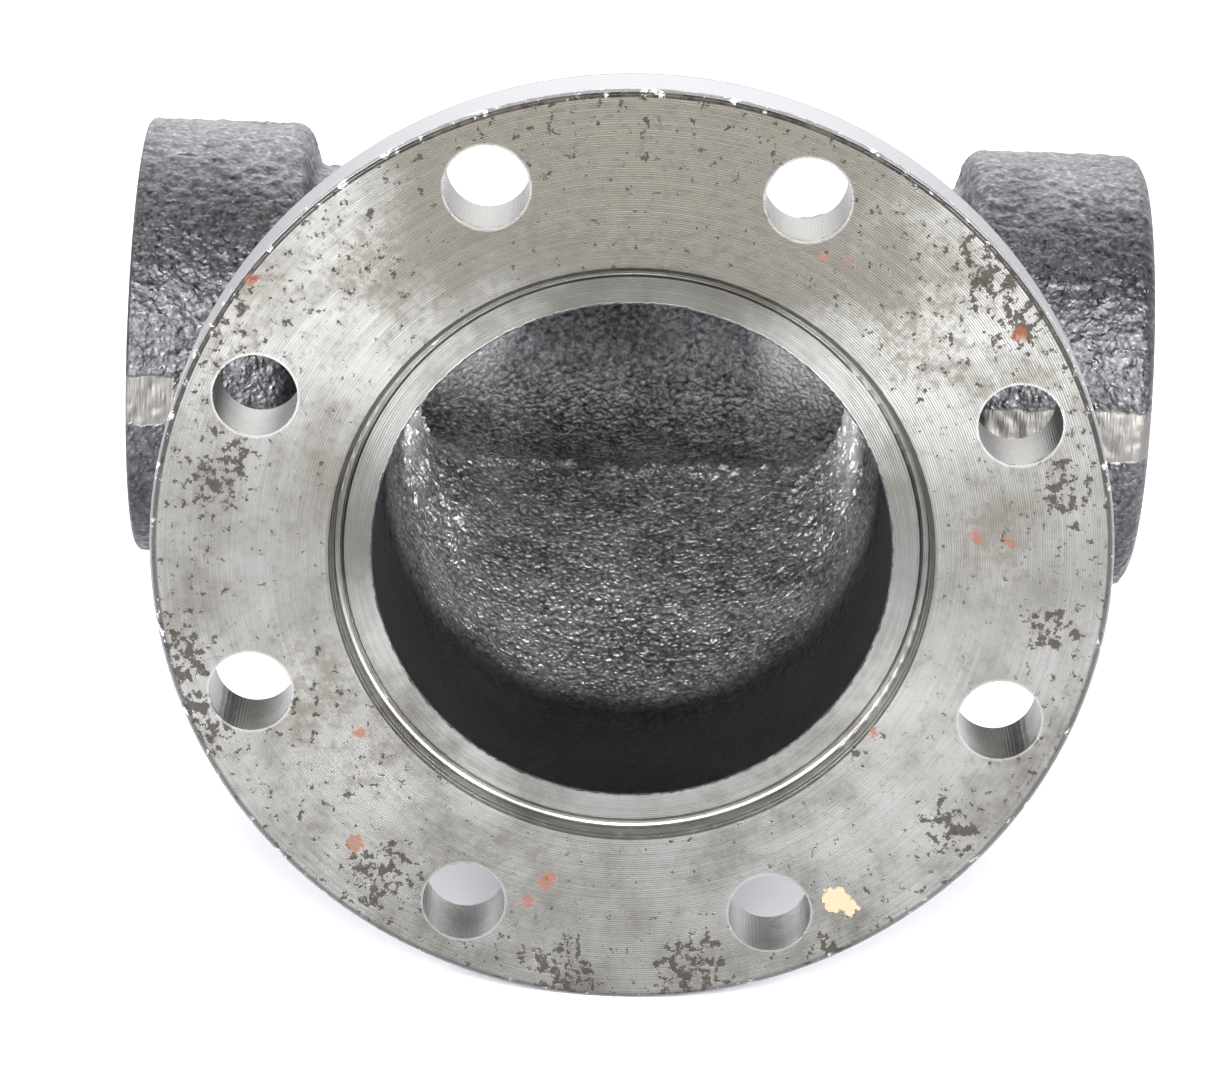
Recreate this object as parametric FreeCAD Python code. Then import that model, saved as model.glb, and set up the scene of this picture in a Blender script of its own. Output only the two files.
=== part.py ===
import FreeCAD, Part
import math
import os

from FreeCAD import Vector

# Cast iron reducing tee: a drilled 5-inch flange on the branch, 3-inch female ends on the run.
# Millimetres. X is the run axis direction, -Y points out of the branch, +Z is up.
# The origin is the centre of the machined branch face.

# Branch flange
flange_radius = 254.0 / 2
flange_depth = 22.2
rim_depth = 17.2
back_edge_radius = flange_depth - rim_depth
face_chamfer_radial = 1.8
face_chamfer_depth = 1.5
bolt_circle_radius = 215.9 / 2
bolt_count = 8
bolt_hole_radius = 22.2 / 2

# Machined recess in the branch face
recess_mouth_radius = 80.0
recess_radius = 78.6
recess_chamfer_depth = 1.7
recess_depth = 5.2
groove_width = 2.6
groove_sag = 0.8

# Branch neck and passage
branch_bore_radius = 68.7
neck_radius = 80.0
neck_fillet = 8.0

# Run
run_depth = 182.0
left_length = 145.0
right_length = 149.0
barrel_radius = 41.5
barrel_half_length = 42.0
barrel_flare_end = 86.0
run_neck_radius = 52.0
waterway_radius = 34.0
hub_radius = 64.2
hub_band_start = 102.5
hub_shoulder_radius = 6.0
hub_root_fillet = 3.0
hub_back_draft = 14.0
hub_faced_chamfer = 0.8
hub_cast_radius = 6.5
thread_bore_radius = 43.8
thread_bore_length = 33.0
thread_mouth_chamfer = 2.2
ground_flat_depth = 0.3
left_ground_length = 14.0
body_fillet = 16.0

# Flat cuts between the sections of the casting
flange_cut = 52.0
reducer_cut = 104.0
hub_cut = 91.0

# Outside and passage of the reducing body: depth, half width, half height, squareness (2 is an ellipse)
outside_sections = [
    (flange_cut, neck_radius, neck_radius, 2.0),
    (60.0, 79.9, 79.7, 2.0),
    (83.0, 78.5, 73.5, 2.05),
    (114.0, 76.0, 60.0, 2.25),
    (142.0, 74.0, 47.0, 2.5),
    (182.0, 72.0, 33.0, 2.7),
]
passage_sections = [
    (flange_cut, branch_bore_radius, branch_bore_radius, 2.0),
    (60.0, 68.4, 68.0, 2.0),
    (83.0, 66.8, 61.5, 2.15),
    (114.0, 64.5, 48.0, 2.5),
    (142.0, 62.5, 36.5, 3.0),
    (172.0, 61.5, 26.0, 3.3),
]
section_points = 40

origin = Vector(0, 0, 0)
branch_axis = Vector(0, 1, 0)
run_axis = Vector(1, 0, 0)


def line(start, end):
    return Part.LineSegment(Vector(*start, 0), Vector(*end, 0)).toShape()


def arc(centre, radius, start_deg, end_deg):
    points = []
    for degrees in (start_deg, (start_deg + end_deg) / 2, end_deg):
        angle = math.radians(degrees)
        points.append(Vector(centre[0] + radius * math.cos(angle), centre[1] + radius * math.sin(angle), 0))
    return Part.Arc(*points).toShape()


def flare(start, end):
    """Smooth step between two radii, leaving both along the axis."""
    curve = Part.BSplineCurve()
    ends = [Vector(*start, 0), Vector(*end, 0)]
    curve.interpolate(Points=ends, InitialTangent=run_axis, FinalTangent=run_axis)
    return curve.toShape()


def revolved(edges, axis):
    return Part.Face(Part.Wire(edges)).revolve(origin, axis, 360)


def section(depth, half_width, half_height, squareness):
    """Closed smooth outline across the branch axis, from circle to rounded oblong."""
    points = []
    for index in range(section_points):
        angle = 2 * math.pi * index / section_points
        across = math.copysign(abs(math.cos(angle)) ** (2 / squareness), math.cos(angle))
        up = math.copysign(abs(math.sin(angle)) ** (2 / squareness), math.sin(angle))
        points.append(Vector(half_width * across, depth, half_height * up))
    curve = Part.BSplineCurve()
    curve.interpolate(Points=points, PeriodicFlag=True)
    return Part.Wire(curve.toShape())


def lofted(sections):
    return Part.makeLoft([section(*values) for values in sections], True)


def make_branch_flange():
    """Flange ring with its recess, turned about the branch axis, then drilled."""
    groove_outer = recess_radius
    groove_inner = recess_radius - groove_width
    groove_middle = Vector((groove_outer + groove_inner) / 2, recess_depth + groove_sag, 0)
    groove = Part.Arc(Vector(groove_inner, recess_depth, 0), groove_middle, Vector(groove_outer, recess_depth, 0))
    fillet_centre = (neck_radius + neck_fillet, flange_depth + neck_fillet)
    edge_centre = (flange_radius - back_edge_radius, rim_depth)
    edges = [
        line((recess_mouth_radius, 0), (flange_radius - face_chamfer_radial, 0)),
        line((flange_radius - face_chamfer_radial, 0), (flange_radius, face_chamfer_depth)),
        line((flange_radius, face_chamfer_depth), (flange_radius, rim_depth)),
        arc(edge_centre, back_edge_radius, 0, 90),
        line((edge_centre[0], flange_depth), (fillet_centre[0], flange_depth)),
        arc(fillet_centre, neck_fillet, 270, 180),
        line((neck_radius, fillet_centre[1]), (neck_radius, flange_cut)),
        line((neck_radius, flange_cut), (branch_bore_radius, flange_cut)),
        line((branch_bore_radius, flange_cut), (branch_bore_radius, recess_depth)),
        line((branch_bore_radius, recess_depth), (groove_inner, recess_depth)),
        groove.toShape(),
        line((groove_outer, recess_depth), (recess_radius, recess_chamfer_depth)),
        line((recess_radius, recess_chamfer_depth), (recess_mouth_radius, 0)),
    ]
    ring = revolved(edges, branch_axis)
    holes = []
    for index in range(bolt_count):
        angle = 2 * math.pi * (index + 0.5) / bolt_count
        place = Vector(bolt_circle_radius * math.cos(angle), 0, bolt_circle_radius * math.sin(angle))
        holes.append(Part.makeCylinder(bolt_hole_radius, flange_depth, place, branch_axis))
    return ring.cut(holes)


def make_run_outside():
    """Run barrel with a heavy band at each end: the left end is faced, the right keeps its cast edge.

    The mould seam is ground to a narrow flat on the branch side of each band.
    """
    draft = math.radians(hub_back_draft)
    shoulder = hub_band_start
    shoulder_low = hub_radius - hub_shoulder_radius
    root_top = run_neck_radius + hub_root_fillet
    top_x = shoulder - hub_shoulder_radius * math.cos(draft)
    top_r = shoulder_low + hub_shoulder_radius * math.sin(draft)
    low_r = root_top - hub_root_fillet * math.sin(draft)
    low_x = top_x - (top_r - low_r) * math.tan(draft)
    root_x = low_x - hub_root_fillet * math.cos(draft)
    faced = left_length - hub_faced_chamfer
    rounded = right_length - hub_cast_radius
    edges = [
        line((-left_length, 0), (-left_length, hub_radius - hub_faced_chamfer)),
        line((-left_length, hub_radius - hub_faced_chamfer), (-faced, hub_radius)),
        line((-faced, hub_radius), (-shoulder, hub_radius)),
        arc((-shoulder, shoulder_low), hub_shoulder_radius, 90, hub_back_draft),
        line((-top_x, top_r), (-low_x, low_r)),
        arc((-root_x, root_top), hub_root_fillet, 180 + hub_back_draft, 270),
        line((-root_x, run_neck_radius), (-barrel_flare_end, run_neck_radius)),
        flare((-barrel_flare_end, run_neck_radius), (-barrel_half_length, barrel_radius)),
        line((-barrel_half_length, barrel_radius), (barrel_half_length, barrel_radius)),
        flare((barrel_half_length, barrel_radius), (barrel_flare_end, run_neck_radius)),
        line((barrel_flare_end, run_neck_radius), (root_x, run_neck_radius)),
        arc((root_x, root_top), hub_root_fillet, 270, 360 - hub_back_draft),
        line((low_x, low_r), (top_x, top_r)),
        arc((shoulder, shoulder_low), hub_shoulder_radius, 180 - hub_back_draft, 90),
        line((shoulder, hub_radius), (rounded, hub_radius)),
        arc((rounded, hub_radius - hub_cast_radius), hub_cast_radius, 90, 0),
        line((right_length, hub_radius - hub_cast_radius), (right_length, 0)),
        line((right_length, 0), (-left_length, 0)),
    ]
    outside = revolved(edges, run_axis)
    outside.translate(branch_axis * run_depth)
    flat = run_depth - hub_radius + ground_flat_depth
    right_ground = slab(hub_band_start, right_length, flat - 1, flat)
    left_ground = slab(-left_length, left_ground_length - left_length, flat - 1, flat)
    return outside.cut([right_ground, left_ground])


def make_end_passage(length):
    """Waterway from the middle of the run to one end, bored for the thread and chamfered at the mouth."""
    bore_start = length - thread_bore_length
    chamfer_start = length - thread_mouth_chamfer
    mouth = thread_bore_radius + thread_mouth_chamfer
    edges = [
        line((0, 0), (0, waterway_radius)),
        line((0, waterway_radius), (bore_start, waterway_radius)),
        line((bore_start, waterway_radius), (bore_start, thread_bore_radius)),
        line((bore_start, thread_bore_radius), (chamfer_start, thread_bore_radius)),
        line((chamfer_start, thread_bore_radius), (length, mouth)),
        line((length, mouth), (length, 0)),
        line((length, 0), (0, 0)),
    ]
    return revolved(edges, run_axis)


def make_run_passage():
    left = make_end_passage(left_length).mirror(origin, run_axis)
    passage = left.fuse(make_end_passage(right_length)).removeSplitter()
    passage.translate(branch_axis * run_depth)
    return passage


def on_run_seam(edge):
    """True for the seam where the reducing body meets the run."""
    middle = edge.valueAt((edge.FirstParameter + edge.LastParameter) / 2)
    round_or_straight = isinstance(edge.Curve, (Part.Line, Part.Circle))
    return middle.y > reducer_cut and abs(middle.x) < hub_cut and edge.Length > 1 and not round_or_straight


def make_body():
    """Everything behind the flange cut, in one piece."""
    outside = lofted(outside_sections).fuse(make_run_outside())
    seam = [edge for edge in outside.Edges if on_run_seam(edge)]
    outside = outside.makeFillet(body_fillet, seam)
    return outside.cut([lofted(passage_sections), make_run_passage()])


def slab(x_low, x_high, y_low, y_high):
    reach = 2 * flange_radius
    return Part.makeBox(x_high - x_low, y_high - y_low, reach, Vector(x_low, y_low, -reach / 2))


body = make_body()
back = run_depth + 2 * hub_radius
half = right_length + 1
nodes = {
    "branch_flange": make_branch_flange(),
    "branch_reducer": body.common(slab(-half, half, flange_cut, reducer_cut)),
    "centre_barrel": body.common(slab(-hub_cut, hub_cut, reducer_cut, back)),
    "left_hub": body.common(slab(-half, -hub_cut, reducer_cut, back)),
    "right_hub": body.common(slab(hub_cut, half, reducer_cut, back)),
}

os.makedirs("parts", exist_ok=True)
for name, shape in nodes.items():
    solid = shape.Solids[0]
    solid.exportStep("parts/" + name + ".step")
    print(name, len(shape.Solids), solid.isValid(), round(solid.Volume), [round(v, 1) for v in (
        solid.BoundBox.XMin, solid.BoundBox.XMax, solid.BoundBox.YMin,
        solid.BoundBox.YMax, solid.BoundBox.ZMin, solid.BoundBox.ZMax)])
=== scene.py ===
import math

import bpy
from mathutils import Matrix, Vector


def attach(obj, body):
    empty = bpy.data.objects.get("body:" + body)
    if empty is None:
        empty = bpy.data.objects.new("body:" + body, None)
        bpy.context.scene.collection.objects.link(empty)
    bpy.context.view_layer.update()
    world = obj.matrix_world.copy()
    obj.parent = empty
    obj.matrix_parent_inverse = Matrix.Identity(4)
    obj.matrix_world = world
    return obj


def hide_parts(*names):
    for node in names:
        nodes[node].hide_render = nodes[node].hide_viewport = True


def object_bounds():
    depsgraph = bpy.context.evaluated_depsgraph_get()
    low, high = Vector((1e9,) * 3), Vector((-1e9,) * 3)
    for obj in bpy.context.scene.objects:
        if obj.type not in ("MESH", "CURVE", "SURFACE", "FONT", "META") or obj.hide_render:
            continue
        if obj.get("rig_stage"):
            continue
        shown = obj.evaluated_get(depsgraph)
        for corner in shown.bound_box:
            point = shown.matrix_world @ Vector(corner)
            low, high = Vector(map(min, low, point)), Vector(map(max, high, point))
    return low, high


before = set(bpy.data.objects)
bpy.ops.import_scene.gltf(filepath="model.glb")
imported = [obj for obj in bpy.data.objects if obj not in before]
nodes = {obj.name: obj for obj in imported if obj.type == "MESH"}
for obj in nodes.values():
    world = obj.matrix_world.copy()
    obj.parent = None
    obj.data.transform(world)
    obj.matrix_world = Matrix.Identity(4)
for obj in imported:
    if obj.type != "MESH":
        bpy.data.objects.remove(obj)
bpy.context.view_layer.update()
print("frame loaded:", sorted(nodes))


class Wire:
    # an output socket that can be used in sums
    def __init__(self, sheet, socket):
        self.sheet = sheet
        self.socket = socket

    def maths(self, operation, *terms):
        return self.sheet.node("ShaderNodeMath", {"operation": operation}, dict(enumerate(terms)))

    def __add__(self, other):
        return self.maths("ADD", self, other)

    def __radd__(self, other):
        return self.maths("ADD", other, self)

    def __sub__(self, other):
        return self.maths("SUBTRACT", self, other)

    def __rsub__(self, other):
        return self.maths("SUBTRACT", other, self)

    def __mul__(self, other):
        return self.maths("MULTIPLY", self, other)

    def __rmul__(self, other):
        return self.maths("MULTIPLY", other, self)

    def __truediv__(self, other):
        return self.maths("DIVIDE", self, other)

    def __pow__(self, other):
        return self.maths("POWER", self, other)

    def most(self, other):
        return self.maths("MAXIMUM", self, other)

    def size(self):
        return self.maths("ABSOLUTE", self)

    def sine(self):
        return self.maths("SINE", self)

    def ramp(self, low, high):
        # 0 below low, 1 above high, smooth between; low may be the larger
        settings = {"interpolation_type": "SMOOTHSTEP", "clamp": True}
        values = {"Value": self, "From Min": low, "From Max": high}
        if low > high:
            values = {"Value": self, "From Min": high, "From Max": low, "To Min": 1.0, "To Max": 0.0}
        return self.sheet.node("ShaderNodeMapRange", settings, values)


class Sheet:
    # the node tree of one material, or of the world
    def __init__(self, owner):
        owner.use_nodes = True
        self.owner = owner
        self.tree = owner.node_tree
        self.tree.nodes.clear()

    def node(self, kind, settings=None, values=None, output=0):
        made = self.tree.nodes.new(kind)
        for key, value in (settings or {}).items():
            setattr(made, key, value)
        for key, value in (values or {}).items():
            if isinstance(value, Wire):
                self.tree.links.new(value.socket, made.inputs[key])
            else:
                made.inputs[key].default_value = value
        return Wire(self, made.outputs[output])

    def placeMm(self):
        # position on the fitting in millimetres, as a vector and as x, y, z
        coords = self.node("ShaderNodeTexCoord", output="Object")
        vector = self.node("ShaderNodeVectorMath", {"operation": "SCALE"}, {0: coords, "Scale": 1000.0})
        parts = [self.node("ShaderNodeSeparateXYZ", None, {0: vector}, output=i) for i in range(3)]
        return vector, parts

    def vector(self, x, y, z):
        return self.node("ShaderNodeCombineXYZ", None, {0: x, 1: y, 2: z})

    def noise(self, vector, size, detail=3.0, roughness=0.5, output=0):
        values = {"Vector": vector, "Scale": 1.0 / size, "Detail": detail, "Roughness": roughness}
        return self.node("ShaderNodeTexNoise", None, values, output)

    def cells(self, vector, size):
        values = {"Vector": vector, "Scale": 1.0 / size, "Randomness": 1.0}
        return self.node("ShaderNodeTexVoronoi", {"feature": "SMOOTH_F1"}, values, "Distance")

    def mix(self, factor, first, second, blend="MIX"):
        settings = {"data_type": "RGBA", "blend_type": blend, "clamp_factor": True}
        values = {0: factor, 6: self.colour(first), 7: self.colour(second)}
        return self.node("ShaderNodeMix", settings, values, output=2)

    def colour(self, value):
        return value if isinstance(value, Wire) else (*value, 1.0)

    def blend(self, factor, first, second):
        # numbers, not colours
        return self.node("ShaderNodeMix", {"data_type": "FLOAT"}, {0: factor, 2: first, 3: second})

    def bump(self, height):
        # height in millimetres
        return self.node("ShaderNodeBump", None, {"Strength": 1.0, "Distance": 0.001, "Height": height})

    def spots(self, x, z, places):
        # 1 at the middle of the nearest spot, 0 outside all of them
        nearest = 0.0
        for spotX, spotZ, reach in places:
            away = ((x - spotX) ** 2.0 + (z - spotZ) ** 2.0) ** 0.5
            inside = 1.0 - away / reach
            nearest = inside.most(nearest)
        return nearest

    def finish(self, **values):
        named = {key.replace("_", " "): value for key, value in values.items()}
        shader = self.node("ShaderNodeBsdfPrincipled", None, named)
        return self.close(shader, "ShaderNodeOutputMaterial")

    def close(self, shader, kind):
        end = self.tree.nodes.new(kind)
        self.tree.links.new(shader.socket, end.inputs["Surface"])
        return self.owner


# cast skin, on every face that no tool has cut
castSkin = {
    # the third colour on the next line darkens real sand pits, and is also painted shade on a band of each
    # hub and on the bore wall
    "dark": (0.035, 0.035, 0.038), "light": (0.130, 0.130, 0.136), "shadeAndPitDark": (0.012, 0.012, 0.014),
    # the two inside colours on the next line are a lighter copy of the skin, painted light for the passages
    "litInsideDark": (0.07, 0.07, 0.073), "litInsideLight": (0.50, 0.50, 0.51),
    "metallic": 0.95, "smoothGrain": 0.24, "roughGrain": 0.50,
    "grainMm": 1.3, "grainHigh": 0.40,
    "pitMm": 0.9, "pitHigh": 0.16,
    "swellMm": 6.0, "swellHigh": 0.30,
    # the crust colour on the next line is a painted highlight, and its share says how much of it is used
    "crust": (0.98, 0.98, 0.98), "crustHighlightShare": 0.85, "crustRough": 0.60,
    # on the next line the first number is how much painted shade darkens the bore wall; the second calms its
    # skin
    "boreShadeShare": 0.92, "boreWallCalm": 0.65, "glintMm": 1.7,
}
# the chamber narrows from round to the height of the run: |x/wide|^power + |z/high|^power is 1 on its wall
chamber = {"wideMm": 70.0, "highMm": 98.3, "narrowing": 0.405, "power": 2.3, "endMm": (168.0, 166.0)}
# the two bored ends of the run
runEnds = {
    "axisMm": 182.0, "leftMm": -145.0, "rightMm": 149.0, "boreMm": 33.0,
    "cut": (0.25, 0.246, 0.236), "worn": (0.20, 0.17, 0.13), "waterwayMm": (39.5, 38.0),
}


def castRelief(s, vector):
    # height in millimetres of the sand-cast surface, and the grain alone
    bent = s.node("ShaderNodeVectorMath", {"operation": "MULTIPLY_ADD"},
                  {0: s.noise(vector, 3.0, 2.0, output=1), 1: (1.6, 1.6, 1.6), 2: vector})
    grain = s.cells(bent, castSkin["grainMm"])
    pits = s.noise(vector, castSkin["pitMm"], 3.0, 0.6)
    swell = s.noise(vector, castSkin["swellMm"], 3.0, 0.55)
    high = (0.6 - grain) * castSkin["grainHigh"] + pits * castSkin["pitHigh"] + swell * castSkin["swellHigh"]
    return high, grain


def insideChamber(x, y, z):
    # 1 on the walls of the passages, 0 on the outside of the casting
    across = (x.size() / chamber["wideMm"]) ** chamber["power"]
    up = (z.size() / (chamber["highMm"] - y * chamber["narrowing"])) ** chamber["power"]
    within = (across + up).ramp(1.04, 0.98) * y.ramp(*chamber["endMm"])
    away = ((y - runEnds["axisMm"]) ** 2.0 + z * z) ** 0.5
    return within.most(away.ramp(*runEnds["waterwayMm"]))


def castColour(s, vector, grain, inside):
    # grey that follows the grain; inside the passages a lighter copy of it is used, as painted light
    patch = s.noise(vector, 26.0, 4.0, 0.6)
    fine = s.noise(vector, 1.8, 3.0, 0.6)
    tone = (patch * 0.6 + fine * 0.7 - grain * 0.35).ramp(0.25, 0.85)
    outsideTone = s.mix(tone, castSkin["dark"], castSkin["light"])
    return s.mix(inside, outsideTone, s.mix(tone, castSkin["litInsideDark"], castSkin["litInsideLight"]))


def hubShadeAndPits(s, x, y, z):
    # painted shade: a darker belt on the outer half of each hub, where less light falls; and dark sand pits
    # under its top edge
    shadedBelt = z.ramp(28.0, 42.0) * z.ramp(63.5, 54.0) * x.size().ramp(100.0, 122.0) * y.ramp(182.0, 170.0)
    longPits = s.noise(s.vector(x * 0.45, y, z * 1.3), 3.2, 3.0, 0.55).ramp(0.66, 0.69)
    pitted = longPits * z.ramp(57.0, 59.0) * x.size().ramp(96.0, 100.0) * y.ramp(176.0, 160.0)
    return shadedBelt, pitted


def shadedBoreWall(x, y, z):
    # the straight wall of the branch bore, where the skin is smoother and its colour is darkened as painted
    # shade
    away = (x * x + z * z) ** 0.5
    return away.ramp(63.5, 68.0) * away.ramp(74.0, 72.0) * y.ramp(84.0, 60.0)


def crustHighlight(x, y, z):
    # painted highlight: brighter colour on the crust along the step over the run and in the corners beside it
    step = z.ramp(18.0, 24.0) * z.ramp(40.0, 30.0) * y.ramp(120.0, 135.0)
    corner = x.size().ramp(34.0, 46.0) * z.ramp(45.0, 25.0) * z.ramp(-30.0, 0.0) * y.ramp(95.0, 120.0)
    return step.most(corner)


def runCutFaces(x, y, z):
    # threaded bores with their chamfers, and the flat end faces
    away = ((y - runEnds["axisMm"]) ** 2.0 + z * z) ** 0.5
    deep = (x - (runEnds["rightMm"] - runEnds["boreMm"])).most(runEnds["leftMm"] + runEnds["boreMm"] - x)
    bore = deep.ramp(-0.2, 0.2) * away.ramp(46.6, 46.2)
    end = (x - runEnds["rightMm"]).most(runEnds["leftMm"] - x).ramp(-0.35, -0.15) * away.ramp(63.8, 63.0)
    return bore.most(end), away


def makeCastIron():
    s = Sheet(bpy.data.materials.new("castIron"))
    vector, (x, y, z) = s.placeMm()
    high, grain = castRelief(s, vector)
    inside = insideChamber(x, y, z)
    colour = castColour(s, vector, grain, inside)
    high = high * (1.0 + inside * 1.6)
    shadedBelt, pitted = hubShadeAndPits(s, x, y, z)
    # painted shade: a dark band on the outer half of each hub
    colour = s.mix(shadedBelt * 0.12, colour, castSkin["shadeAndPitDark"])
    colour = s.mix(pitted, colour, castSkin["shadeAndPitDark"])
    # painted highlight: the crust in the chamber is made much lighter
    litCrust = inside * crustHighlight(x, y, z)
    colour = s.mix(litCrust * castSkin["crustHighlightShare"], colour, castSkin["crust"])
    high = high * (1.0 - z.ramp(35.0, 58.0) * 0.5 * (1.0 - inside)) - pitted * 0.4
    shadeAndPitDark = shadedBoreWall(x, y, z)
    # painted shade on the straight wall of the branch bore
    colour = s.mix(shadeAndPitDark * castSkin["boreShadeShare"], colour, castSkin["shadeAndPitDark"])
    high = high * (1.0 - shadeAndPitDark * castSkin["boreWallCalm"])
    glint = s.noise(vector, castSkin["glintMm"], 2.0, 0.5).ramp(0.50, 0.70)
    rough = s.blend(glint, castSkin["roughGrain"], castSkin["smoothGrain"] + inside * 0.14)
    rough = s.blend(litCrust, rough, castSkin["crustRough"])
    ground, groundHigh = groundPatches(s, vector, x, y, z)
    colour = s.mix(ground, colour, partingLine["ground"])
    rough = s.blend(ground, rough, partingLine["rough"])
    high = s.blend(ground, high, groundHigh)
    cut, away = runCutFaces(x, y, z)
    colour = s.mix(cut, colour, runEnds["cut"])
    rough = s.blend(cut, rough, 0.30)
    high = s.blend(cut, high, s.noise(s.vector(x * 0.2, away, 0.0), 0.5, 3.0, 0.7) * 0.04)
    return s.finish(Base_Color=colour, Metallic=castSkin["metallic"], Roughness=rough, Normal=s.bump(high))


def makeCutIron():
    s = Sheet(bpy.data.materials.new("cutIron"))
    vector, _ = s.placeMm()
    wear = s.noise(vector, 5.0, 4.0, 0.6)
    colour = s.mix(wear.ramp(0.45, 0.75), runEnds["cut"], runEnds["worn"])
    return s.finish(Base_Color=colour, Metallic=0.9, Roughness=0.28 + wear * 0.2,
                    Normal=s.bump(s.noise(vector, 0.6, 3.0, 0.7) * 0.03))


# the parting line, ground off where the mould halves met
partingLine = {
    "halfHigh": 7.4, "rightStart": 96.0, "leftEnd": -131.0, "corner": (-92.0, -80.0), "front": (132.0, 130.0),
    "ground": (0.165, 0.158, 0.147), "rough": 0.46, "scratchHigh": 0.22,
}


def groundPatches(s, vector, x, y, z):
    # flat patches on the parting plane, on the side of the hubs that faces the flange
    ragged = s.noise(vector, 6.0, 4.0, 0.6) - 0.5
    near = (z.size() + ragged * 4.0).ramp(partingLine["halfHigh"] + 0.5, partingLine["halfHigh"] - 0.5)
    rightHub = (x + ragged * 5.0).ramp(partingLine["rightStart"], partingLine["rightStart"] + 1.0)
    leftHub = (x + ragged * 5.0).ramp(partingLine["leftEnd"], partingLine["leftEnd"] - 1.0)
    start, end = partingLine["corner"]
    corner = x.ramp(start - 0.5, start + 0.5) * x.ramp(end + 0.5, end - 0.5)
    onHub = rightHub.most(leftHub).most(corner)
    mask = near * onHub * y.ramp(*partingLine["front"])
    brushed = s.node("ShaderNodeVectorMath", {"operation": "MULTIPLY"}, {0: vector, 1: (1.0, 0.4, 0.12)})
    return mask, s.noise(brushed, 0.8, 3.0, 0.6) * partingLine["scratchHigh"]


# the turned and drilled flange
flangeFace = {
    "boltCircle": 107.95, "holeRadius": 11.1, "holes": 8, "ledgeDepth": 6.3,
    # the first two colours on the next line are lit and shaded copies of the face, mixed as painted light
    "litFace": (0.270, 0.268, 0.256), "shadedFace": (0.165, 0.164, 0.158), "warm": (0.110, 0.105, 0.092),
    # on the next line, the second and third colours are painted shade on the recess ledge and on the front
    # chamfer
    "streak": (0.45, 0.445, 0.42), "ledge": (0.03, 0.03, 0.03), "edge": (0.04, 0.038, 0.036),
    "stain": (0.050, 0.041, 0.029),
    "scale": (0.022, 0.017, 0.013), "rust": (0.085, 0.028, 0.012), "flake": (0.21, 0.165, 0.105),
    "bright": (0.50, 0.50, 0.50), "rim": (0.20, 0.20, 0.208),
    "feedMm": 0.63, "feedHigh": 0.020, "tearHigh": 0.034,
}
# where each kind of mark lies on the face: x, z and reach in millimetres
faceMarks = {
    "scale": ((88, 83, 13), (98, 70, 11), (112, 24, 11), (111, -15, 9), (88, -72, 11), (67, -48, 6),
              (-117, -30, 12), (-110, -48, 13), (-64, -92, 15), (-42, -97, 9), (20, -117, 15),
              (-14, -120, 13), (-113, 68, 15), (-108, 20, 14), (98, -94, 9), (61, -110, 8)),
    "brown": ((-84, -42, 22), (-68, -64, 16), (-104, 46, 18), (74, 62, 18), (-70, 78, 18), (96, 8, 15)),
    "rust": ((-70, -52, 3.0), (-71, -84, 3.6), (90, 10, 2.8), (99, 9, 1.9), (-19, -93, 3.4), (-24, -99, 2.6),
             (46, 85, 1.5), (98, 66, 3.0), (-101, 73, 2.4), (52, 84, 1.2), (66, -46, 2.0)),
    "flake": ((59, -95, 4.2), (63, -97, 2.8)),
}


def boltHoleMask(s, x, z, radius):
    # distance to the nearest of the evenly spaced hole axes, found by folding the angle
    step = 2 * math.pi / flangeFace["holes"]
    angle = s.node("ShaderNodeMath", {"operation": "ARCTAN2"}, {0: z, 1: x})
    folded = s.node("ShaderNodeMath", {"operation": "WRAP"}, {0: angle, 1: step, 2: 0.0}) - step / 2
    along = radius * s.node("ShaderNodeMath", {"operation": "COSINE"}, {0: folded}) - flangeFace["boltCircle"]
    across = radius * folded.sine()
    return (along * along + across * across) ** 0.5


def turningMarks(s, x, y, z, radius):
    # a regular feed with torn, uneven rings over it; also the streaks they leave in the tone
    angle = s.node("ShaderNodeMath", {"operation": "ARCTAN2"}, {0: z, 1: x})
    rings = s.vector(radius, angle.sine() * 1.5, y * 2.0)
    tear = s.noise(rings, 0.45, 3.0, 0.7)
    wander = s.noise(rings, 3.0, 2.0)
    feed = (radius * (2 * math.pi / flangeFace["feedMm"]) + wander * 6.0).sine()
    high = feed * flangeFace["feedHigh"] + tear * flangeFace["tearHigh"]
    return high, tear, s.noise(rings, 0.8, 3.0, 0.6)


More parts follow.
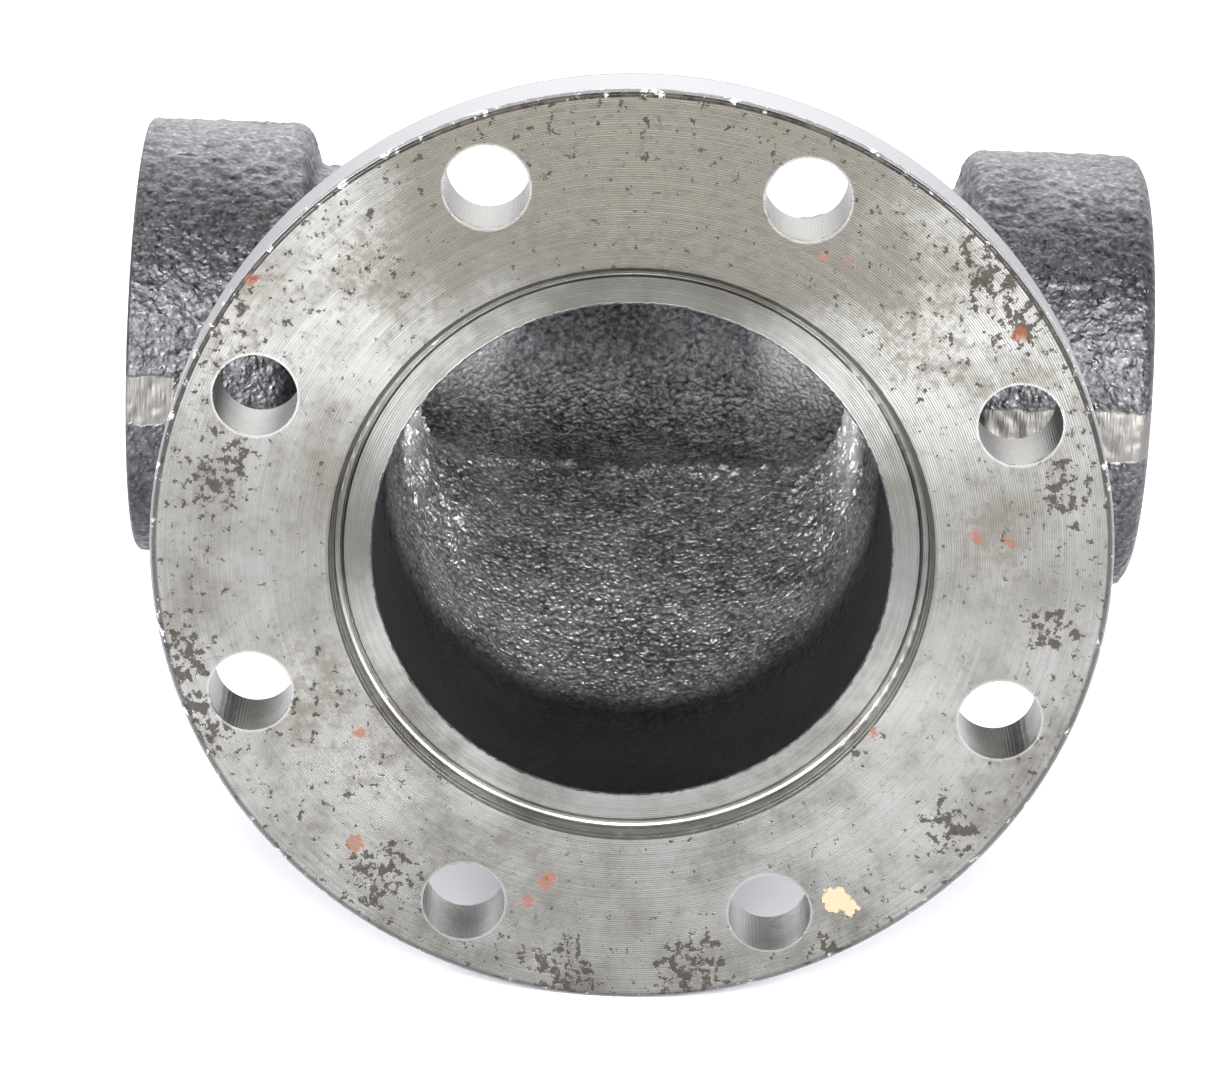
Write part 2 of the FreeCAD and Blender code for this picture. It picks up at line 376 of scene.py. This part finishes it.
def faceStains(s, vector, x, y, z, radius):
    # masks of the marks on the front face: warmth, stain, scale, rust and flake; warmth and stain deepen over
    # the top, partly real stain and partly painted shade
    wildX = x + (s.noise(vector, 7.0, 4.0, 0.6) - 0.5) * 26.0
    wildZ = z + (s.noise(s.vector(z, x, 40.0), 7.0, 4.0, 0.6) - 0.5) * 26.0
    bentX = x + (s.noise(vector, 2.2, 3.0, 0.6) - 0.5) * 6.0
    bentZ = z + (s.noise(s.vector(z, x, 40.0), 2.2, 3.0, 0.6) - 0.5) * 6.0
    broad = s.noise(vector, 30.0, 4.0, 0.6)
    blotch = s.noise(vector, 3.4, 6.0, 0.72)
    speck = s.noise(vector, 3.0, 5.0, 0.68)
    flecks = s.noise(vector, 1.2, 4.0, 0.7)
    onFace = y.ramp(1.2, 0.6)
    # over the top of the face: real stain, and partly painted shade where less light falls
    topStainAndShade = z.ramp(55.0, 100.0) * x.size().ramp(85.0, 40.0)
    brown = s.spots(wildX, wildZ, faceMarks["brown"]).ramp(0.0, 0.8)
    warmth = (broad + topStainAndShade * 0.45 + blotch * 0.30).ramp(0.48, 0.92)
    stained = (blotch + topStainAndShade * 0.10 + broad * 0.22 + brown * 0.12).ramp(0.62, 0.80) * y.ramp(3.0, 1.0)
    outer = radius.ramp(90.0, 122.0)
    crowded = s.spots(wildX, wildZ, faceMarks["scale"]).ramp(0.0, 0.7)
    ragged = speck * 0.95 + flecks * 0.22 + outer * 0.030 + crowded * 0.105 + brown * 0.03
    scaled = ragged.ramp(0.690, 0.730) * onFace
    rusty = (s.spots(bentX, bentZ, faceMarks["rust"]) + flecks * 0.9 - 0.45).ramp(0.15, 0.45) * onFace
    flake = s.spots(bentX, bentZ, faceMarks["flake"]).ramp(0.10, 0.18) * onFace
    return warmth, stained, scaled, rusty, flake


def tornEdge(s, vector, y, radius):
    # bright torn metal, in broken lengths, where the rim meets the front chamfer
    lengths = s.noise(vector, 5.0, 5.0, 0.75).ramp(0.58, 0.62)
    return radius.ramp(124.9, 125.5) * y.ramp(2.6, 1.6) * lengths


def makeMachinedFlange():
    s = Sheet(bpy.data.materials.new("machinedFlange"))
    vector, (x, y, z) = s.placeMm()
    radius = (x * x + z * z) ** 0.5
    toHole = boltHoleMask(s, x, z, radius)

    # which faces were cut: front and recess, rim and bolt holes; the rest is cast
    ragged = s.noise(vector, 2.2, 4.0, 0.65) - 0.5
    ledgeDepth, holeRadius = flangeFace["ledgeDepth"], flangeFace["holeRadius"]
    front = y.ramp(ledgeDepth + 0.2, ledgeDepth) * (radius + ragged * 1.6).ramp(68.9, 69.3)
    rim = radius.ramp(126.2, 126.6) * y.ramp(17.8, 17.0)
    hole = toHole.ramp(holeRadius + 0.15, holeRadius + 0.05)
    cut = front.most(rim).most(hole)

    turned, tear, streak = turningMarks(s, x, y, z, radius)
    warmth, stained, scaled, rusty, flake = faceStains(s, vector, x, y, z, radius)
    offHole = toHole.ramp(holeRadius + 0.3, holeRadius + 0.8)
    # painted highlight: the face colour is made lighter along the diagonals, where fine turning would catch
    # the lamps, and lighter towards the bottom, by mixing a lit and a shaded copy of it
    paintedSheen = (x * x * z * z * 4.0) / (radius ** 4.0 + 1.0)
    lit = paintedSheen * 0.75 + z.ramp(30.0, -60.0) * 0.62
    colour = s.mix(warmth, s.mix(lit, flangeFace["shadedFace"], flangeFace["litFace"]), flangeFace["warm"])
    colour = s.mix((streak - 0.5) * 0.9 + 0.30, colour, flangeFace["streak"], "MULTIPLY")
    # painted shade on the recess ledge, lifted along the diagonals and towards the bottom as painted
    # highlight
    ledge = radius.ramp(81.0, 80.0)
    ledgeShade = ledge * (0.37 - paintedSheen * 0.40 - z.ramp(10.0, -50.0) * 0.35)
    colour = s.mix(ledgeShade, colour, flangeFace["ledge"])
    # painted shade: a thin dark line on the front chamfer
    edge = radius.ramp(124.8, 125.4) * y.ramp(2.6, 1.8)
    colour = s.mix(edge * 0.7, colour, flangeFace["edge"])
    colour = s.mix(rim, colour, flangeFace["rim"])
    colour = s.mix(stained * 0.6, colour, flangeFace["stain"])
    colour = s.mix(scaled * 0.92, colour, flangeFace["scale"])
    colour = s.mix(rusty * 0.9, colour, flangeFace["rust"])
    colour = s.mix(flake, colour, flangeFace["flake"])
    colour = s.mix((1.0 - offHole) * y.ramp(1.0, 0.2) * 0.2, colour, flangeFace["bright"])
    colour = s.mix(tornEdge(s, vector, y, radius), colour, flangeFace["bright"])

    rough = 0.25 + rim * 0.22 + stained * 0.16 + scaled * 0.42 + flake * 0.4 + rusty * 0.3 + tear * 0.10
    metal = 0.90 - (scaled * 0.25).most(stained * 0.30).most(rusty * 0.8).most(flake * 0.9)
    high = turned - scaled * 0.06 + flake * 0.3

    castHigh, grain = castRelief(s, vector)
    shadeAndPitDark = shadedBoreWall(x, y, z)
    castHigh = castHigh * (1.0 - shadeAndPitDark * castSkin["boreWallCalm"])
    castTone = castColour(s, vector, grain, shadeAndPitDark)
    # painted shade on the straight wall of the branch bore
    castTone = s.mix(shadeAndPitDark * castSkin["boreShadeShare"], castTone, castSkin["shadeAndPitDark"])
    colour = s.mix(cut, castTone, colour)
    rough = s.blend(cut, 0.50, rough)
    metal = s.blend(cut, castSkin["metallic"], metal)
    high = s.blend(cut, castHigh, high)
    return s.finish(Base_Color=colour, Metallic=metal, Roughness=rough, Normal=s.bump(high))


castIron = makeCastIron()
cutIron = makeCutIron()
machinedFlange = makeMachinedFlange()
for materialSlot in nodes["branch_flange"].material_slots:
    materialSlot.material = machinedFlange
print("materials set")


# the sand left every cast section lumpy, and crusted round the lip and corners of the chamber
sandSkin = {
    "gridDepth": 7, "fadeMm": (52.5, 60.0), "boreRadiusMm": 47.5, "backMm": (246.0, 240.0),
    "lumpSize": 0.0034, "lumpHigh": 0.0013,
    "crustSize": 0.0030, "crustHigh": 0.0052, "crustReach": 1.06,
    "lip": {"depth": (153.0, 171.0), "height": (20.0, 35.5), "across": 62.0},
    "corner": {"depth": (92.0, 172.0), "height": (0.0, 52.0), "across": (40.0, 67.5)},
}


def rise(value, low, high):
    return min(max((value - low) / (high - low), 0.0), 1.0)


def lumpWeight(x, y, z):
    # 1 on the cast skin, falling to 0 at the flange, on the cut ends and at the very back
    ends = (x - runEnds["leftMm"], runEnds["rightMm"] - x)
    away = math.hypot(y - runEnds["axisMm"], z)
    weight = rise(y, *sandSkin["fadeMm"]) * rise(y, *sandSkin["backMm"])
    weight *= rise(min(ends), 0.4, 2.4)
    if min(ends) < runEnds["boreMm"] + 1.0:
        weight *= rise(away, sandSkin["boreRadiusMm"], sandSkin["boreRadiusMm"] + 3.0)
    return weight


def crustWeight(x, y, z):
    # strongest on the lip of the waterway and in the rounded sides of the chamber
    strongest = 0.0
    lip, corner = sandSkin["lip"], sandSkin["corner"]
    if y > corner["depth"][1]:
        return strongest
    across = (abs(x) / chamber["wideMm"]) ** chamber["power"]
    up = (abs(z) / (chamber["highMm"] - y * chamber["narrowing"])) ** chamber["power"]
    if across + up > sandSkin["crustReach"]:
        return strongest
    if abs(x) < lip["across"] and lip["height"][0] < abs(z) < lip["height"][1]:
        middle = sum(lip["depth"]) / 2
        strongest = 1.0 - rise(abs(y - middle), 2.0, lip["depth"][1] - middle)
    if corner["across"][0] < abs(x) < corner["across"][1] and abs(z) < corner["height"][1]:
        start, end = corner["depth"]
        along = rise(y, start, start + 15.0) * rise(y, end, end - 8.0)
        side = rise(abs(x), corner["across"][0], corner["across"][0] + 10.0)
        strongest = max(strongest, along * side * 0.75)
    return strongest


def addSand(piece, name, weigh, size, high):
    # pushes each point by its own place, so neighbouring sections still meet
    group = piece.vertex_groups.new(name=name)
    for vertex in piece.data.vertices:
        weight = weigh(*(vertex.co * 1000.0))
        if weight > 0.0:
            group.add([vertex.index], weight, "REPLACE")
    sand = bpy.data.textures.new(name, "CLOUDS")
    sand.cloud_type = "COLOR"
    sand.noise_scale = size
    sand.noise_depth = 1
    push = piece.modifiers.new(name, "DISPLACE")
    push.texture = sand
    push.texture_coords = "LOCAL"
    push.direction = "RGB_TO_XYZ"
    push.space = "LOCAL"
    push.strength = high
    push.vertex_group = name
    bpy.ops.object.modifier_apply(modifier=name)


def makeCastSection(name, pieceName):
    bpy.ops.object.select_all(action="DESELECT")
    nodes[name].select_set(True)
    bpy.context.view_layer.objects.active = nodes[name]
    bpy.ops.object.duplicate()
    piece = bpy.context.object
    piece.name = pieceName
    for key in [key for key in piece.keys() if key.startswith("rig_")]:
        del piece[key]
    bpy.ops.object.mode_set(mode="EDIT")
    bpy.ops.mesh.select_all(action="SELECT")
    bpy.ops.mesh.remove_doubles(threshold=1e-6)
    bpy.ops.mesh.normals_make_consistent(inside=False)
    bpy.ops.object.mode_set(mode="OBJECT")
    grid = piece.modifiers.new("grid", "REMESH")
    grid.mode = "SHARP"
    grid.octree_depth = sandSkin["gridDepth"]
    grid.scale = 0.98
    grid.use_remove_disconnected = False
    bpy.ops.object.modifier_apply(modifier="grid")
    addSand(piece, "lumps", lumpWeight, sandSkin["lumpSize"], sandSkin["lumpHigh"])
    addSand(piece, "crust", crustWeight, sandSkin["crustSize"], sandSkin["crustHigh"])
    bpy.ops.object.shade_smooth_by_angle(angle=math.radians(38))
    piece.data.materials.clear()
    piece.data.materials.append(castIron)
    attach(piece, "root")
    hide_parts(name)
    return piece


castSections = {
    "branch_reducer": "reducerSkin", "centre_barrel": "barrelSkin",
    "left_hub": "leftHubSkin", "right_hub": "rightHubSkin",
}
for nodeName, skinName in castSections.items():
    section = makeCastSection(nodeName, skinName)
    print("cast section", skinName, len(section.data.polygons), "faces")


# female pipe threads, one ridge wound along each bored end
pipeThread = {"pitch": 0.003175, "turns": 9, "steps": 72, "rootRadius": 0.0441, "lead": 0.0031}


def makeThread(name, startX):
    pitch = pipeThread["pitch"]
    corner = pitch / math.sqrt(3)
    axisY = runEnds["axisMm"] / 1000.0
    bpy.ops.object.select_all(action="DESELECT")
    place = (startX, axisY + pipeThread["rootRadius"] - corner / 2, 0.0)
    bpy.ops.mesh.primitive_circle_add(vertices=3, radius=corner, location=place, rotation=(0, 0, math.pi))
    ridge = bpy.context.object
    ridge.name = name
    bpy.ops.object.transform_apply(location=True, rotation=True, scale=True)
    bpy.context.scene.cursor.location = (0, axisY, 0)
    bpy.ops.object.origin_set(type="ORIGIN_CURSOR")
    wind = ridge.modifiers.new("wind", "SCREW")
    wind.axis = "X"
    wind.iterations = pipeThread["turns"]
    wind.screw_offset = pitch
    wind.steps = wind.render_steps = pipeThread["steps"]
    bpy.ops.object.modifier_apply(modifier="wind")
    bpy.ops.object.transform_apply(location=True, rotation=True, scale=True)
    bpy.ops.object.mode_set(mode="EDIT")
    bpy.ops.mesh.select_all(action="SELECT")
    bpy.ops.mesh.fill_holes(sides=3)
    bpy.ops.mesh.select_all(action="SELECT")
    bpy.ops.mesh.normals_make_consistent(inside=False)
    bpy.ops.object.mode_set(mode="OBJECT")
    bpy.ops.object.shade_smooth_by_angle(angle=math.radians(30))
    ridge.data.materials.append(cutIron)
    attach(ridge, "root")
    return ridge


length = pipeThread["turns"] * pipeThread["pitch"]
makeThread("leftThread", runEnds["leftMm"] / 1000.0 + pipeThread["lead"])
makeThread("rightThread", runEnds["rightMm"] / 1000.0 - pipeThread["lead"] - length)
print("threads made")


# floor, light and camera
studio = {
    "floorHalf": 6.0, "floorColour": (0.66, 0.67, 0.70), "floorMottle": (0.70, 0.705, 0.73),
    "airFront": (0.16, 0.16, 0.17), "airBack": (2.1, 2.1, 2.16),
    "sideSize": (0.8, 1.0), "sideWatts": 50.0, "sideWay": (0.56, -0.80, 0.24), "sideAway": 1.6,
    "topSize": (2.2, 1.6), "topWatts": 35.0, "topWay": (0.0, 0.62, 0.78), "topAway": 1.5,
    "nearSize": (0.5, 0.5), "nearWatts": 26.0, "nearWay": (0.0, -0.90, 0.46), "nearAway": 1.7,
}
photoCamera = {
    "at": (-0.0164, -1.1996, 0.4332), "lens": 143.8, "sensor": 36.0,
    "right": (0.9992, 0.0059, 0.0392), "up": (-0.0389, 0.3357, 0.9412), "back": (-0.0076, -0.9419, 0.3357),
}


def makeFloor():
    bpy.ops.object.select_all(action="DESELECT")
    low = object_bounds()[0][2]
    bpy.ops.mesh.primitive_plane_add(size=2 * studio["floorHalf"], location=(0, 0, low))
    floor = bpy.context.object
    floor.name = "floor"
    bpy.ops.object.transform_apply(location=True, rotation=True, scale=True)
    s = Sheet(bpy.data.materials.new("floorPaper"))
    vector, _ = s.placeMm()
    mottle = s.noise(vector, 260.0, 3.0, 0.5)
    colour = s.mix(mottle, studio["floorColour"], studio["floorMottle"])
    floor.data.materials.append(s.finish(Base_Color=colour, Roughness=0.8))
    floor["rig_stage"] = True


def addSoftbox(name, way, away, size, watts):
    aim = Vector(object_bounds()[0]).lerp(Vector(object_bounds()[1]), 0.5)
    light = bpy.data.lights.new(name, "AREA")
    light.shape = "RECTANGLE"
    light.size, light.size_y = size
    light.energy = watts
    lamp = bpy.data.objects.new(name, light)
    lamp.location = aim + Vector(way).normalized() * away
    lamp.rotation_euler = (lamp.location - aim).to_track_quat("Z", "Y").to_euler()
    bpy.context.collection.objects.link(lamp)


def lightStudio():
    s = Sheet(bpy.data.worlds.new("studioAir"))
    way = s.node("ShaderNodeTexCoord", output="Generated")
    behind = s.node("ShaderNodeSeparateXYZ", None, {0: way}, output=1).ramp(-0.3, 0.7)
    air = s.node("ShaderNodeBackground", None, {0: s.mix(behind, studio["airFront"], studio["airBack"])})
    bpy.context.scene.world = s.close(air, "ShaderNodeOutputWorld")
    x, y, z = studio["sideWay"]
    addSoftbox("softboxRight", (x, y, z), studio["sideAway"], studio["sideSize"], studio["sideWatts"])
    addSoftbox("softboxLeft", (-x, y, z), studio["sideAway"], studio["sideSize"], studio["sideWatts"])
    addSoftbox("softboxTop", studio["topWay"], studio["topAway"], studio["topSize"], studio["topWatts"])
    addSoftbox("softboxNear", studio["nearWay"], studio["nearAway"], studio["nearSize"], studio["nearWatts"])
    bpy.context.scene.view_settings.view_transform = "Standard"


def setCamera():
    lens = bpy.data.cameras.new("camera")
    lens.sensor_width = photoCamera["sensor"]
    lens.lens = photoCamera["lens"]
    camera = bpy.data.objects.new("camera", lens)
    columns = [Vector(photoCamera[k]) for k in ("right", "up", "back")]
    turn = Matrix(columns).transposed().to_4x4()
    camera.matrix_world = Matrix.Translation(photoCamera["at"]) @ turn
    bpy.context.collection.objects.link(camera)
    bpy.context.scene.camera = camera


makeFloor()
lightStudio()
setCamera()
print("stage set")
